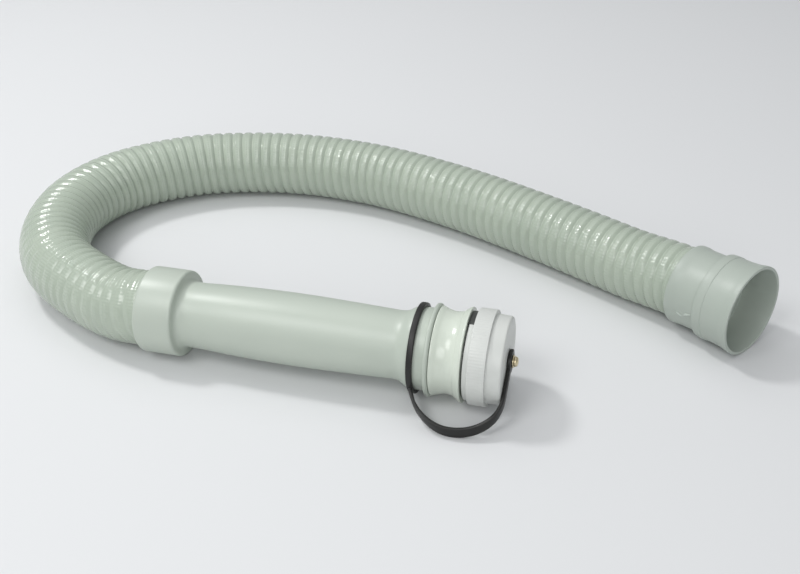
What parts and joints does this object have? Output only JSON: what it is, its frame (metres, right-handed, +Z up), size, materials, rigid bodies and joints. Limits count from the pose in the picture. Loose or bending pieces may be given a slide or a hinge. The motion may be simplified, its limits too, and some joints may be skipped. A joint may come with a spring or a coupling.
{
  "type": "washing machine drain hose",
  "caption": "Ribbed flexible drain hose lying in a hook, with a moulded outlet tube, a screw cap on a rubber tether strap and an open push-on cuff.",
  "frame": {"origin": "middle of the bounding box on the plane that the hose lies on", "axes": "+X to the right as seen in the picture, along the longest side and from the hose's bend towards the cuff; +Y away from the viewer; +Z up from the surface it lies on"},
  "size_m": [0.4704, 0.3048, 0.0548],
  "materials": {
    "hose_vinyl": "glossy",
    "cuff_vinyl": "glossy",
    "tube_vinyl": "glossy",
    "neck_plastic": "polished",
    "cap_plastic": "satin",
    "black_rubber": "matte",
    "brass": "machined"
  },
  "bodies": {
    "hose_body": {"hose": "hose_vinyl", "hose_cuff": "cuff_vinyl", "drain_tube": "tube_vinyl", "neck_fitting": "neck_plastic", "strap": "black_rubber"},
    "eyelet_washer": {"screw_washer": "brass"},
    "cap_body": {"cap": "cap_plastic", "seal_ring": "black_rubber", "cap_screw": "brass", "screw_nut": "brass"}
  },
  "joints": [
    {"name": "cap_travel", "type": "slide", "parent": "hose_body", "child": "eyelet_washer", "axis": [0.9645, -0.2639, 0.0086], "range_m": [0, 0.01505], "deforming": ["strap"]},
    {"name": "cap_turn", "type": "hinge", "parent": "eyelet_washer", "child": "cap_body", "pos_m": [0.07316, -0.11992, 0.02692], "axis": [0.9645, -0.2639, 0.0086], "range_deg": [0, 1080]}
  ],
  "couplings": [
    {"joint": "cap_travel", "follows": "cap_turn", "m_per_rad": 0.00079577}
  ]
}
